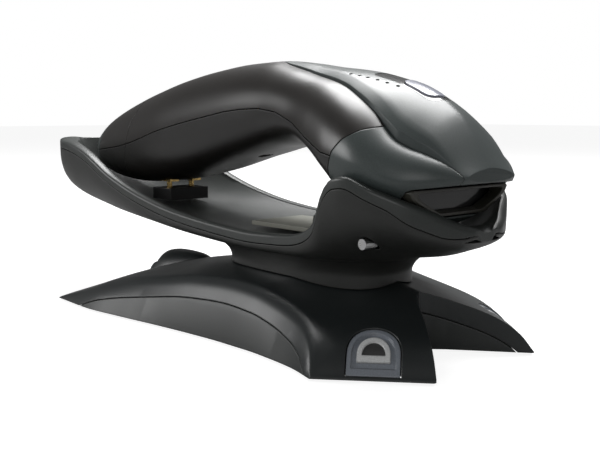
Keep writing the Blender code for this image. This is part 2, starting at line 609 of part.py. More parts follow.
def tray(root):
    places = [-103.5, -102, -99.4, -98, -95.5, -93, *stations(-87, 44, 12), 52, 57.5, 61, 64.5, 68, 72, 77, 82.5,
              88, 91, 94, 96, 98]
    places = [float(x) for x in places]
    liner = loft("tray_liner", [liner_ring(x) for x in places])
    finish(liner, "cradle_grey", root)

    shell = loft("tray_lower_shell", [shell_ring(x) for x in places])
    rings = [(15.0, 32, 34.5, 19.8), *NECK]
    combine(shell, loft("neck", [neck_ring(*r) for r in rings]), "UNION")
    inner = [x for x in places if -97 < x < 96]
    combine(shell, loft("hollow", [shell_ring(x, WALL, 12.0, 5) for x in inner]))
    combine(shell, loft("neck_hollow", [neck_ring(*r, WALL) for r in [(10.0, 32, 34.5, 19.8), *NECK]]))
    combine(shell, loft("liner_space", [clearance_ring(x) for x in places]))
    for x in NECK_BOSSES:
        combine(shell, cylinder("boss", (x, 0, 20), 4.4, 16, sides=16), "UNION")
    combine(shell, base_block(-GAP))
    for x in NECK_BOSSES:
        combine(shell, cylinder("pilot", (x, 0, 18), 1.4, 17, sides=10))
    combine(shell, cylinder("light_hole", (LIGHT_X, -25, LIGHT_Z), 1.9, 16, "y", sides=14))
    finish(shell, "cradle_dark", root)
    finish(cylinder("status_light", (LIGHT_X, -23.6, LIGHT_Z), 1.5, 4.6, "y", sides=14), "steel", root)


def tray_fittings(root, pins):
    finish(box("tray_floor_plate", (33, 0, 33.2), (42, 22, 1.4)), "pale_plate", root)
    for y, side in ((-8.0, "right"), (8.0, "left")):
        post = cylinder(f"bumper_post_{side}", (43, y, 36), 3.6, 3.6, tip_radius=3.0)
        finish(post, "rubber_black", root)
    block = box("contact_block", (PAD_X, 0, 38.7), (12, 17, 4.4))
    for y in PAD_SIDES:
        combine(block, cylinder("bore", (PAD_X, y, 40), 1.4, 5.6, sides=14))
    finish(block, "socket_black", root)
    for y, side in zip(PAD_SIDES, ("right", "left")):
        pin = cylinder(f"charge_pin_{side}", (PAD_X, y, 41), 1.0, 4.0, sides=14)
        finish(pin, "gold", pins[side])


# ------------------------------------------------------------------ cradle base
def toe_distance(x, y):
    """Distance of a plan point in from the front edge of the toe on its side."""
    (x_out, y_out), (x_in, y_in) = TOE_CORNERS
    length = math.hypot(x_in - x_out, y_out - y_in)
    return ((x_in - x) * (y_out - y_in) - (abs(y) - y_in) * (x_in - x_out)) / length


def base_height(x, y):
    """Height of the base's upper surface: a dome between the crests that falls away over the toes."""
    share = min(abs(y) / curve_at(CREST_EDGE, x), 1.0)
    mid, crest = curve_at(BASE_MID, x), curve_at(CREST, x)
    dome = mid + (crest - mid) * share**1.8
    return min(dome, curve_at(TOE_RISE, toe_distance(x, y)))


def base_half_width(x, inset):
    """Half width of the base on the ground."""
    (x_out, y_out), (x_in, y_in) = TOE_CORNERS
    if x <= x_out:
        return curve_at(BASE_EDGE, x) - 1.2 * inset
    return y_out - (x - x_out) * (y_out - y_in) / (x_in - x_out) - 1.3 * inset


def crest_half_width(x, inset=0.0):
    """Half width of the base where its top turns down into its sides."""
    return min(curve_at(CREST_EDGE, x) - 0.7 * inset, base_half_width(x, inset) - 1.0)


def base_ring(x, inset=0.0):
    """Closed section of the base at x: domed top, sloping sides and flat underside."""
    ground, crest = base_half_width(x, inset), crest_half_width(x, inset)
    half = [(x, crest * k / BASE_STEPS, base_height(x, crest * k / BASE_STEPS) - inset)
            for k in range(BASE_STEPS + 1)]
    bottom = -5.0 if inset else min(STAND, half[-1][2] - 0.3)
    top = max(half[-1][2], bottom + 0.3)
    half[-1] = (x, crest, top)
    half.append((x, crest + 0.62 * (ground - crest), bottom + 0.55 * (top - bottom)))
    return mirrored([*half, (x, ground, bottom), (x, 0.0, bottom)])


def base_solid(inset=0.0):
    """The whole base as one block with the notch between its toes, or the space inside it."""
    places = [x for x in BASE_PLACES if not inset or -57 < x < 96]
    block = loft("base_solid", [base_ring(x, inset) for x in places])
    near = [(x - 1.25 * inset, y + (0.3 * inset if y else 0.0)) for x, y in NOTCH]
    return combine(block, prism("notch", [*near, *[(x, -y) for x, y in reversed(near[1:])]], -20, 60, "z"))


def base_block(lower):
    """Everything under the base's upper surface, lowered by the given amount."""
    rings = []
    for x in [-80, *BASE_PLACES, 110]:
        near = min(max(x, BASE_PLACES[0]), BASE_PLACES[-1])
        crest = crest_half_width(near)
        half = [(x, crest * k / BASE_STEPS, base_height(near, crest * k / BASE_STEPS) - lower)
                for k in range(BASE_STEPS + 1)]
        half += [(x, 60.0, half[-1][2]), (x, 60.0, -60.0), (x, 0.0, -60.0)]
        rings.append(mirrored(half))
    return loft("base_block", rings)


def hood_rings(inset, extra=()):
    rings = []
    for x, wide, high in [*extra, *HOOD]:
        half = [(x, (wide - inset) * math.sin(math.pi / 2 * k / 7) ** 0.9,
                 (high - inset) * math.cos(math.pi / 2 * k / 7) ** 0.9) for k in range(7)]
        rings.append(mirrored([*half, (x, wide - inset, -5.0), (x, 0.0, -5.0)]))
    return rings


def scoop_place(along, inward, side):
    """Plan point of a foot's scoop, from distances along the toe's edge and in from it."""
    (x_out, y_out), (x_in, y_in) = TOE_CORNERS
    length = math.hypot(x_in - x_out, y_out - y_in)
    edge = ((x_in - x_out) / length, (y_in - y_out) / length)
    x = (x_out + x_in) / 2 + edge[0] * along + edge[1] * inward
    y = (y_out + y_in) / 2 + edge[1] * along - edge[0] * inward
    return x, side * y


def scoop_outline(side, grow):
    """Plan of a scoop: straight sides from the toe, closed by an arch."""
    wide, start = SCOOP_HALF_WIDTH + grow, SCOOP_START - grow
    rise = SCOOP_TOP - SCOOP_SIDES + grow
    points = [(-wide, start)]
    points += [(-wide * math.cos(math.pi * k / 10), SCOOP_SIDES + rise * math.sin(math.pi * k / 10))
               for k in range(11)]
    points.append((wide, start))
    return [scoop_place(a, b, side) for a, b in points]


def slab_below(level):
    return prism("slab", [(-90, -60), (110, -60), (110, 60), (-90, 60)], -20, level, "z")


def base(root):
    top = base_solid()
    lower = duplicate(top, "base_bottom_housing")
    combine(top, loft("hood", hood_rings(0)), "UNION")
    combine(top, slab_below(STAND))
    room = base_solid(WALL)
    combine(top, room, keep_tool=True)
    combine(top, loft("hood_inside", hood_rings(WALL, [(-57, 10.5, 14.6)])[:-2]))
    channel = box("channel", (-60, 0, 10), (20, 2 * CHANNEL_HALF_WIDTH, 16))
    combine(top, channel, keep_tool=True)
    combine(top, base_block(BAND_HEIGHT))
    for x, y in BASE_BOSSES:
        combine(top, cylinder("boss", (x, y, 12), 3.4, 2 * (base_height(x, y) - 1.2 - 12), sides=14), "UNION")
        combine(top, cylinder("pilot", (x, y, 10), 1.4, 10, sides=10))
    for x in NECK_BOSSES:
        combine(top, cylinder("hole", (x, 0, 20), 1.5, 12, sides=12))
    for side in (-1, 1):
        combine(top, prism("scoop", scoop_outline(side, GAP), -1, 30, "z"))
    top.name = "base_top_shell"
    finish(top, "base_blue_grey", root)

    combine(lower, base_block(BAND_HEIGHT + GAP), "INTERSECT")
    combine(room, slab_below(STAND + FLOOR))
    combine(lower, room)
    combine(lower, channel)
    for x, y in FEET:
        combine(lower, cylinder("foot_pocket", (x, y, 0), 6.3, 2 * 2.0))
    for x, y in BASE_BOSSES:
        combine(lower, cylinder("counterbore", (x, y, 0), 2.8, 2 * 2.8, sides=16))
        combine(lower, cylinder("hole", (x, y, 2), 1.5, 8, sides=12))
    finish(lower, "cradle_dark", root)

    for side, label in ((-1, "right"), (1, "left")):
        insert = prism(f"scoop_insert_{label}", scoop_outline(side, 0), -1, 30, "z")
        slab = base_block(0.5)
        combine(slab, base_block(2.6))
        combine(insert, slab, "INTERSECT")
        combine(insert, slab_below(STAND))
        x, y = scoop_place(0, 4.6, side)
        combine(insert, cylinder("hole", (x, y, 6), 1.7, 16, sides=14))
        finish(insert, "clear_insert", root)


def base_fittings(root):
    for number, (x, y) in enumerate(FEET, 1):
        finish(cylinder(f"rubber_foot_{number}", (x, y, 0.8), 6.0, 1.6), "rubber_black", root)
    for number, (x, y) in enumerate(BASE_BOSSES, 1):
        screw(f"base_screw_{number}", x, y, STAND + 0.1, 9.5, root)
    for x, label in zip(NECK_BOSSES, ("rear", "front")):
        under = base_height(x, 0) - WALL - GAP
        screw(f"neck_screw_{label}", x, 0, under - 2.2, 8.0, root)
    finish(box("ballast_plate", (18, 0, 5.4), (64, 36, 3.2)), "steel", root)
    finish(box("cradle_circuit_board", (16, 0, 11.0), (56, 32, 1.4)), "board_green", root)
    socket = box("cable_socket", (-46, 0, 7.0), (8.6, 12, 6.2))
    combine(socket, box("opening", (-49.4, 0, 7.0), (10, 9.4, 4.6)))
    finish(socket, "socket_black", root)


def main():
    scanner = make_body("scanner_body", 0, 0, 60)
    button_body = make_body("trigger_body", 75, 0, 72)
    mirror_body = make_body("mirror_body", *MIRROR_AXIS, MIRROR_LEVEL)
    pins = {side: make_body(f"pin_body_{side}", PAD_X, y, 41)
            for y, side in zip(PAD_SIDES, ("right", "left"))}
    root = make_body("cradle_body", 0, 0, 0)
    casing_pieces(scanner)
    scanner_front(scanner)
    trigger(scanner, button_body)
    electronics(scanner)
    scan_engine(scanner, mirror_body)
    battery(scanner)
    for x, label in zip(CASING_SCREWS, ("tail", "handle", "head")):
        screw(f"casing_screw_{label}", x, 0, curve_at(BOTTOM, x) + 0.4, 5.5, scanner)
    tray(root)
    tray_fittings(root, pins)
    base(root)
    base_fittings(root)


clear_scene()
PARTS = bpy.data.collections.new(PRODUCT)
bpy.context.scene.collection.children.link(PARTS)
main()
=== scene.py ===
"""Looks of a cordless barcode scanner docked in its cradle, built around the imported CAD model.

Shapes are drawn in millimetres from the same driving dimensions as the CAD part, with finer sections;
settle() turns them into metres and moves the drawing's middle to X = 0.
"""
import json
import math

import bmesh
import bpy
import numpy as np
from mathutils import Matrix, Vector

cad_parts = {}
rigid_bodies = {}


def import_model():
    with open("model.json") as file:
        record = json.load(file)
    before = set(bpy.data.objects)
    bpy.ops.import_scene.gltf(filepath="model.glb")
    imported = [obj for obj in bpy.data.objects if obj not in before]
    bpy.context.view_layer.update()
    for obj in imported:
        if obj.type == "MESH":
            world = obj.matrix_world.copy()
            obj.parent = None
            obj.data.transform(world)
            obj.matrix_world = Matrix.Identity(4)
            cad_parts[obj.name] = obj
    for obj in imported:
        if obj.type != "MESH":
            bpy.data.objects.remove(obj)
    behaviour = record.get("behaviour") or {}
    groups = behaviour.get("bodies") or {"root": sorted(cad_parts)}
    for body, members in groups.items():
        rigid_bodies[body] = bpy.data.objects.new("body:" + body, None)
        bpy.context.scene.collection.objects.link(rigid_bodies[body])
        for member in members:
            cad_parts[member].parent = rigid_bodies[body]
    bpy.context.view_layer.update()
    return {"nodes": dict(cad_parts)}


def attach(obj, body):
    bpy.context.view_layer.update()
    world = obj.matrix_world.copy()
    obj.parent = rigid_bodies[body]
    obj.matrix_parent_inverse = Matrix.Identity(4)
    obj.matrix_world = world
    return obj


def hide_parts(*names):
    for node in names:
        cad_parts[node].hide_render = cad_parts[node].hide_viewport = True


MM = 0.001
GAP = 0.3
WALL = 2.2

# ------------------------------------------------------------------ driving dimensions: scanner
MIDDLE_X = -2.25        # middle of the object's length in the drawing; it is moved to X = 0
CAP_SEAM_X = -86.0      # end cap to tail covers, at mid height
TAIL_SEAM_X = -60.0     # tail covers to handle shells
SEAM_TILT = 0.25        # the two cross seams lean forward with height
MOUTH_X = 89.0          # plane of the scan window
COVER_START_X = 17.0    # rounded rear end of the top cover
COVER_REACH_X = 90.0    # how far the handle's upper shell may run forward beside the top cover

# Outlines along the scanner, as (x, value)
TOP = [(-96, 54.5), (-94.5, 60), (-90, 64), (-81.4, 68.3), (-61.3, 74.6), (-47.6, 77.9), (-32.4, 81),
       (-14.1, 83.7), (3.7, 85.3), (17.4, 85.6), (31.5, 84.4), (42, 82.9), (50, 82), (57, 81), (65.3, 79.2),
       (73.6, 76.9), (80.7, 73.7), (87.7, 68.8), (91.2, 65), (94.9, 60.2), (97, 57.3), (99, 54.6)]
BOTTOM = [(-96, 51), (-94, 47.6), (-88, 45), (-75, 43), (-60, 42.4), (-46, 43.3), (-20, 47.9), (5.3, 54.4),
          (25.5, 58.4), (38, 58.9), (47, 57.2), (54.5, 53.2), (60.5, 47.4), (65, 41.6), (71, 38.2), (78, 37.5),
          (86, 38.6), (92, 41.6), (96, 46), (99, 50.9)]
HALF_WIDTH = [(-96, 3.4), (-94.5, 6.8), (-90, 10), (-80, 12.2), (-60, 14.6), (-30, 17.2), (0, 18.2),
              (24, 18.8), (40, 20.6), (52, 24), (62, 26.6), (72, 27.4), (80, 26), (88, 22.8), (92, 19.5),
              (96.3, 14), (98.6, 10.8), (99, 10)]
WIDEST = [(-96, 52.6), (-90, 53.6), (-65, 56.2), (-47, 59.7), (-36, 62.3), (-7, 67.2), (15, 70), (27, 70.3),
          (39, 67.8), (51, 62.6), (60, 58.6), (75, 55.6), (88, 51.6), (99, 52.3)]
# Roundness of the section above and below the widest line
CROWN = [(-96, 1), (50, 1), (66, 1.1), (80, 1.3), (99, 1.3)]
BELLY = [(-96, 1), (-60, 0.62), (10, 0.62), (36, 0.8), (62, 0.85), (78, 1.1), (88, 1.3), (99, 1)]
# Half width of the top cover's edge
COVER_EDGE = [(18, 1.6), (20, 3.2), (28, 5.6), (41, 8.4), (56, 12), (70, 16), (81, 17.6), (90, 14.5),
              (98.6, 10.8)]

# ------------------------------------------------------------------ driving dimensions: cradle
TRAY_WIDTH = [(-103.5, 9), (-102, 15.5), (-99.5, 20.4), (-95, 24), (-88, 26.4), (-78, 27.2), (0, 27), (40, 28),
              (57, 30), (70, 30.6), (80, 28.2), (88, 22.6), (91, 18.5), (94, 14), (96.5, 9.6), (98, 5.6)]
RIM = [(-103.5, 58.6), (-99, 59.2), (-93, 58.4), (-82.7, 57.4), (-71.7, 54.6), (-51.6, 46), (-30.9, 40),
       (-10.6, 36.3), (12, 34.2), (29.7, 33.4), (42, 33.9), (50, 34.6), (56, 35.8), (60, 37.6), (62.6, 40.2),
       (64.7, 46), (66.8, 49.6), (69.6, 51.9), (73.4, 52.4), (79, 50.2), (86, 47), (90, 44.6), (92, 43),
       (94, 41.2), (96.5, 39.4), (98, 38.2)]
LIP = [(-103.5, 5), (-99, 8), (-94, 9), (-86, 6), (-76, 4.4), (-60, 3.6), (50, 3.4), (62, 2.6), (82, 2.6),
       (88, 3.6), (98, 5)]
WELL = [(-103.5, 58.4), (-99.4, 58.6), (-98.2, 53), (-96.5, 47.6), (-93, 44.4), (-86, 41.6), (-75, 38.6),
        (-50, 35.6), (-29, 34), (-10, 32.8), (12, 31.4), (40, 30.6), (60, 32), (78, 33.4), (88, 35.2),
        (90.5, 37.4), (92.5, 38.6), (95.5, 38.6), (98, 37.4)]
BAND = [(-103.5, 3), (70, 3), (84, 3.4), (90, 5), (93, 4.6), (96.5, 3), (98, 1.2)]
UNDERSIDE = [(-103.5, 54.4), (-101.5, 48), (-98, 41), (-92, 36.5), (-84, 34), (-70, 31.8), (-56, 30.4),
             (-29, 28.8), (0, 27), (30, 26), (66, 26.4), (78.5, 28.6), (85, 29.6), (90, 31.2), (94.8, 33),
             (98, 35.8)]
SHELL_ROUND = [(-103.5, 0.7), (60, 0.7), (75, 0.85), (88, 1), (98, 1)]
NECK = [(21.9, 32, 34.5, 19.8), (24, 32, 35.5, 20.2), (27, 31, 40, 21.6),
        (29.8, 29, 48, 23.6)]   # height, centre x, half length, half width

SPEAKER_HOLES = [(54.5, -8), (58, -8), (61, -7.8), (64.5, -7.4), (68, -7.2), (71.5, -6.6)]
BUTTON_POCKET = (59.5, 82.6, 5.0)       # rear x, front x, half width
BUTTON_PLAN = (70.0, 81.0, 3.8)
CASING_SCREWS = (-78.0, 6.0, 79.5)
PAD_X, PAD_Z, PAD_SIZE, PAD_SIDES = -45.0, 44.1, (7.0, 4.0, 1.6), (-5.0, 5.0)

BASE_EDGE = [(-62.6, 43), (-59.7, 43.1), (-40.3, 44.1), (-19.9, 42.2), (0, 39.8), (16.4, 38.3), (30, 37.6),
             (42, 37.6), (53.8, 38.5), (64.3, 40), (74.9, 43.1)]        # half width on the ground
CREST_EDGE = [(-62.6, 42.6), (-45, 38.5), (-30, 36), (0, 33.5), (30, 32), (50, 32), (60, 33.5), (67, 36.5),
              (72.5, 40), (74.9, 42.2)]                                 # half width where the sides begin
CREST = [(-62.6, 1.2), (-50, 5.2), (-34.6, 10.3), (-5, 15.3), (9.7, 17.2), (27.3, 18), (43.9, 17),
         (52, 15.8)]
BASE_MID = [(-62.6, 5.4), (-46, 10.8), (-30.7, 15), (-9.9, 18.5), (8, 21), (20, 21.7)]
TOE_RISE = [(0, 0.8), (4.2, 6.2), (9.8, 10.2), (15.4, 12.7), (21, 14.6), (26, 16.1), (33, 18), (42, 20.4),
            (50, 21.7)]         # height of the toes by distance in from their front edge
TOE_CORNERS = ((74.9, 43.1), (99.7, 21.8))
NOTCH = [(74.8, 0), (76.4, 2.6), (80, 6.2), (99.7, 21.8), (115, 34)]
BASE_STEPS = 22         # facets across half of the base's top
BAND_HEIGHT = 5.9       # depth of the top shell's edge band
HOOD = [(-54, 10.4, 14.4), (-51, 11.2, 16), (-47, 11.2, 16.6), (-40, 10, 16.8), (-33, 8, 16.6),
        (-25, 4, 15)]           # cable hood: x, half width, height
CHANNEL_HALF_WIDTH = 8.0
STAND = 0.8             # gap under the housing, filled by the rubber feet
FEET = [(-40, -32), (-40, 32), (58, -29), (58, 29)]
BASE_BOSSES = [(-18, -26), (-18, 26), (50, -24), (50, 24)]
LIGHT_X, LIGHT_Z = 76.8, 34.4
SCOOP_HALF_WIDTH, SCOOP_START, SCOOP_SIDES, SCOOP_TOP = 7.0, 1.0, 5.0, 12.6


# ------------------------------------------------------------------ finer detail than the CAD holds
# Inner line of the band beside the top cover's edge, and how far the cheeks lie below that edge
CREASE = [(18, 0.6), (22, 1.4), (28, 2.6), (41, 5.2), (56, 8.6), (70, 12.6), (81, 15.2), (90, 13.2),
          (98.6, 10.6)]
STEP = [(20, 0), (30, 0.5), (60, 0.9), (72, 1.3), (80, 2.4), (88, 2.0), (93, 0.9), (96.5, 0)]
CASE_WALL = [(-96, 2.2), (45, 2.2), (60, 4.2), (99, 4.2)]      # the head's wall is thick enough for the step
CHAMFER = [(17, 0), (26, 0.5), (60, 0.9), (88, 0.9), (96, 0)]  # drop across the sloping band
CREST_ROLL = 3.2        # rounding of the base's crests
EDGE_RADIUS = 0.45      # rounding of small moulded edges
WELL_STEPS = 20         # facets across half of the tray's well

# ------------------------------------------------------------------ lights and camera, in metres and watts
OVERHEAD = ((-0.15, 0.35, 0.75), (0.02, 0, 0.04), (0.7, 0.5), 13.0)   # place, aim, size and power
LEFT_FILL = ((-0.60, -0.70, 0.40), (0, 0, 0.03), (0.4, 0.4), 3.5)
NEAR_FILL = ((0.70, -0.80, 0.50), (0, 0, 0.03), (0.8, 0.5), 2.2)
CAMERA_PLACE, CAMERA_LENS = (0.24292, -0.19518, 0.06922), 53.84
CAMERA_TURN, CAMERA_DIP = 48.06, 7.178      # degrees left of straight along +Y, and downwards

# ------------------------------------------------------------------ plastics: colour, roughness, grain, coat
FINISHES = {
    "satin_grey": ((0.046, 0.057, 0.056), 0.36, 0.6, 0.10),
    "handle_charcoal": ((0.0125, 0.0105, 0.0090), 0.34, 0.35, 0.10),
    # underside_charcoal is handle_charcoal at about half brightness: painted shade for the handle's lower
    # shells
    "underside_charcoal": ((0.0065, 0.0055, 0.0048), 0.38, 0.35, 0.08),
    "cradle_grey": ((0.030, 0.034, 0.032), 0.38, 0.6, 0.10),
    "cradle_dark": ((0.018, 0.019, 0.0175), 0.44, 0.9, 0.05),
    "base_blue_grey": ((0.0135, 0.0165, 0.0170), 0.36, 0.6, 0.12),
    "base_side": ((0.024, 0.027, 0.026), 0.42, 0.8, 0.08),
    "bezel_olive": ((0.034, 0.033, 0.026), 0.36, 0.3, 0.10),
    "window_black": ((0.0015, 0.0015, 0.0015), 0.10, 0.0, 0.40),
    "button_lavender": ((0.26, 0.27, 0.33), 0.24, 0.1, 0.30),
    "clear_insert": ((0.20, 0.22, 0.25), 0.16, 0.0, 0.60),
    "arch_silver": ((0.62, 0.63, 0.63), 0.22, 0.0, 0.40),
    "smoked_insert": ((0.045, 0.045, 0.045), 0.14, 0.0, 0.60),
    "rubber_black": ((0.008, 0.008, 0.008), 0.80, 1.0, 0.0),
    "board_green": ((0.015, 0.080, 0.035), 0.45, 0.2, 0.30),
    "cell_wrap": ((0.030, 0.090, 0.240), 0.30, 0.1, 0.40),
    "pale_plate": ((0.20, 0.20, 0.17), 0.50, 0.6, 0.0),
    "socket_black": ((0.006, 0.006, 0.0065), 0.45, 0.4, 0.05),
}
METALS = {
    "steel": ((0.50, 0.50, 0.50), 0.30),
    "gold": ((0.75, 0.52, 0.20), 0.25),
    "mirror": ((0.85, 0.87, 0.90), 0.04),
}


# ------------------------------------------------------------------ materials
def link(tree, source, output, target, field):
    tree.links.new(source.outputs[output], target.inputs[field])


def noise(tree, place, scale, detail):
    node = tree.nodes.new("ShaderNodeTexNoise")
    node.inputs["Scale"].default_value = scale
    node.inputs["Detail"].default_value = detail
    link(tree, place, "Object", node, "Vector")
    return node


def spread(tree, source, output, low, high):
    """Map a texture's middle range onto low to high."""
    node = tree.nodes.new("ShaderNodeMapRange")
    node.inputs["From Min"].default_value = 0.3
    node.inputs["From Max"].default_value = 0.7
    node.inputs["To Min"].default_value = low
    node.inputs["To Max"].default_value = high
    link(tree, source, output, node, "Value")
    return node


def shade_node(tree, place, colour, amount):
    """The base colour, made a little lighter and darker in soft patches and fine grain."""
    patches = spread(tree, noise(tree, place, 22.0, 3.0), "Fac", 1 - amount, 1 + amount)
    grain = spread(tree, noise(tree, place, 2600.0, 2.0), "Fac", 1 - 1.5 * amount, 1 + 1.5 * amount)
    both = tree.nodes.new("ShaderNodeMath")
    both.operation = "MULTIPLY"
    link(tree, patches, "Result", both, 0)
    link(tree, grain, "Result", both, 1)
    tint = tree.nodes.new("ShaderNodeVectorMath")
    tint.operation = "SCALE"
    tint.inputs[0].default_value = colour
    link(tree, both, "Value", tint, "Scale")
    return tint


def rounded_edge(tree):
    """The surface direction with its edges slightly rounded."""
    edge = tree.nodes.new("ShaderNodeBevel")
    edge.samples = 6
    edge.inputs["Radius"].default_value = EDGE_RADIUS * MM
    return edge


def worn(tree, tint, edge, wear):
    """The tint, rubbed a little paler where the surface turns sharply."""
    face = tree.nodes.new("ShaderNodeNewGeometry")
    turn = tree.nodes.new("ShaderNodeVectorMath")
    turn.operation = "DOT_PRODUCT"
    link(tree, face, "Normal", turn, 0)
    link(tree, edge, "Normal", turn, 1)
    share = tree.nodes.new("ShaderNodeMapRange")
    share.inputs["From Min"].default_value = 0.99
    share.inputs["From Max"].default_value = 0.80
    share.inputs["To Max"].default_value = wear
    link(tree, turn, "Value", share, "Value")
    mix = tree.nodes.new("ShaderNodeMix")
    mix.data_type = "RGBA"
    mix.inputs[7].default_value = (0.30, 0.30, 0.28, 1.0)
    link(tree, share, "Result", mix, 0)
    link(tree, tint, "Vector", mix, 6)
    return mix


def rounded_normal(tree, place, edge, grain):
    """Moulded grain over the rounded edges."""
    bump = tree.nodes.new("ShaderNodeBump")
    bump.inputs["Strength"].default_value = 0.16 * grain
    bump.inputs["Distance"].default_value = 0.00008
    link(tree, noise(tree, place, 3400.0, 3.0), "Fac", bump, "Height")
    link(tree, edge, "Normal", bump, "Normal")
    return bump


def moulded(name):
    """A moulded plastic or rubber with grain, tone variation and uneven gloss."""
    colour, roughness, grain, coat = FINISHES[name]
    material = bpy.data.materials.new(name + "_finish")
    material.use_nodes = True
    tree = material.node_tree
    shader = tree.nodes["Principled BSDF"]
    shader.inputs["Coat Weight"].default_value = coat
    shader.inputs["Coat Roughness"].default_value = 0.3
    place = tree.nodes.new("ShaderNodeTexCoord")
    edge = rounded_edge(tree)
    tint = shade_node(tree, place, colour, 0.07)
    link(tree, worn(tree, tint, edge, 0.10), 2, shader, "Base Color")
    gloss = spread(tree, noise(tree, place, 60.0, 4.0), "Fac", 0.92 * roughness, 1.10 * roughness)
    link(tree, gloss, "Result", shader, "Roughness")
    link(tree, rounded_normal(tree, place, edge, grain), "Normal", shader, "Normal")
    return material


def metal(name):
    """A plated or brushed metal with fine drawn lines."""
    colour, roughness = METALS[name]
    material = bpy.data.materials.new(name + "_finish")
    material.use_nodes = True
    tree = material.node_tree
    shader = tree.nodes["Principled BSDF"]
    shader.inputs["Metallic"].default_value = 1.0
    place = tree.nodes.new("ShaderNodeTexCoord")
    link(tree, shade_node(tree, place, colour, 0.04), "Vector", shader, "Base Color")
    gloss = spread(tree, noise(tree, place, 900.0, 3.0), "Fac", 0.8 * roughness, 1.2 * roughness)
    link(tree, gloss, "Result", shader, "Roughness")
    return material


def finish_material(slot):
    """The one material made for a slot."""
    made = bpy.data.materials.get(slot + "_finish")
    return made or (metal(slot) if slot in METALS else moulded(slot))


# ------------------------------------------------------------------ mesh helpers
def curve_at(points, x):
    """Smooth height of a listed outline at x: a cubic through its points that never overshoots."""
    xs = np.array([p[0] for p in points], float)
    zs = np.array([p[1] for p in points], float)
    x = min(max(x, xs[0]), xs[-1])
    steps = np.diff(xs)
    slopes = np.diff(zs) / steps
    tangents = np.concatenate(([slopes[0]], np.zeros(len(slopes) - 1), [slopes[-1]]))
    for i in range(1, len(slopes)):
        before, after = slopes[i - 1], slopes[i]
        if before * after > 0:
            tangents[i] = 2 * before * after / (before + after)
    i = min(int(np.searchsorted(xs, x, side="right")) - 1, len(steps) - 1)
    t = (x - xs[i]) / steps[i]
    blend = (2 * t**3 - 3 * t**2 + 1, t**3 - 2 * t**2 + t, 3 * t**2 - 2 * t**3, t**3 - t**2)
    return float(blend[0] * zs[i] + blend[1] * steps[i] * tangents[i]
                 + blend[2] * zs[i + 1] + blend[3] * steps[i] * tangents[i + 1])


def stations(start, stop, step):
    """Evenly spread places from start to stop, about step apart."""
    return np.linspace(start, stop, max(2, int(round((stop - start) / step)) + 1))


def from_bmesh(name, mesh):
    bmesh.ops.recalc_face_normals(mesh, faces=mesh.faces)
    data = bpy.data.meshes.new(name)
    mesh.to_mesh(data)
    mesh.free()
    item = bpy.data.objects.new(name, data)
    PARTS.objects.link(item)
    return item


def loft(name, rings):
    """A closed solid through rings of equally many points, capped at both ends."""
    mesh = bmesh.new()
    rows = [[mesh.verts.new(Vector(p) * MM) for p in ring] for ring in rings]
    count = len(rings[0])
    for low, high in zip(rows, rows[1:]):
        for i in range(count):
            j = (i + 1) % count
            mesh.faces.new((low[i], low[j], high[j], high[i]))
    mesh.faces.new(rows[0])
    mesh.faces.new(rows[-1])
    return from_bmesh(name, mesh)


def prism(name, outline, low, high, axis):
    """A flat outline, extruded along "y" (outline in x and z) or "z" (outline in x and y)."""
    if axis == "y":
        rings = [[(x, level, z) for x, z in outline] for level in (low, high)]
    else:
        rings = [[(x, y, level) for x, y in outline] for level in (low, high)]
    return loft(name, rings)


def box(name, centre, size):
    mesh = bmesh.new()
    bmesh.ops.create_cube(mesh, size=1.0)
    bmesh.ops.scale(mesh, vec=Vector(size) * MM, verts=mesh.verts)
    bmesh.ops.translate(mesh, vec=Vector(centre) * MM, verts=mesh.verts)
    return from_bmesh(name, mesh)


def cylinder(name, centre, radius, depth, axis="z", tip_radius=None, sides=20):
    mesh = bmesh.new()
    tip = radius if tip_radius is None else tip_radius
    bmesh.ops.create_cone(mesh, cap_ends=True, segments=sides, radius1=radius * MM, radius2=tip * MM,
                          depth=depth * MM)
    turn = {"z": Matrix(), "x": Matrix.Rotation(math.pi / 2, 4, "Y"),
            "y": Matrix.Rotation(-math.pi / 2, 4, "X")}
    bmesh.ops.transform(mesh, matrix=turn[axis], verts=mesh.verts)
    bmesh.ops.translate(mesh, vec=Vector(centre) * MM, verts=mesh.verts)
    return from_bmesh(name, mesh)


def combine(item, tool, operation="DIFFERENCE", keep_tool=False):
    """Cut, join or intersect item with tool, and settle the result in item's mesh."""
    modifier = item.modifiers.new("combine", "BOOLEAN")
    modifier.operation = operation
    modifier.object = tool
    modifier.solver = "EXACT"
    bpy.context.view_layer.update()
    settled = bpy.data.meshes.new_from_object(item.evaluated_get(bpy.context.evaluated_depsgraph_get()))
    item.modifiers.clear()
    item.data = settled
    if not keep_tool:
        bpy.data.objects.remove(tool, do_unlink=True)
    return item


def duplicate(item, name):
    copy = bpy.data.objects.new(name, item.data.copy())
    PARTS.objects.link(copy)
    return copy


def settle(item, slot, body, *stands_for):
    """Weld, centre, shade and dress a shape, and tie it to its body and the CAD nodes it replaces."""
    mesh = bmesh.new()
    mesh.from_mesh(item.data)
    bmesh.ops.remove_doubles(mesh, verts=mesh.verts, dist=0.00001)
    bmesh.ops.dissolve_degenerate(mesh, edges=mesh.edges, dist=0.00001)
    bmesh.ops.translate(mesh, vec=Vector((-MIDDLE_X, 0, 0)) * MM, verts=mesh.verts)
    mesh.to_mesh(item.data)
    mesh.free()
    item.data.materials.clear()
    item.data.materials.append(finish_material(slot))
    item.data.shade_smooth()
    item.data.set_sharp_from_angle(angle=math.radians(30))
    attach(item, body)
    if stands_for:
        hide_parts(*stands_for)
    return item


def mirrored(half):
    """Complete a ring given from top centre to bottom centre on the +Y side."""
    return half + [(x, -y, z) for x, y, z in reversed(half[1:-1])]


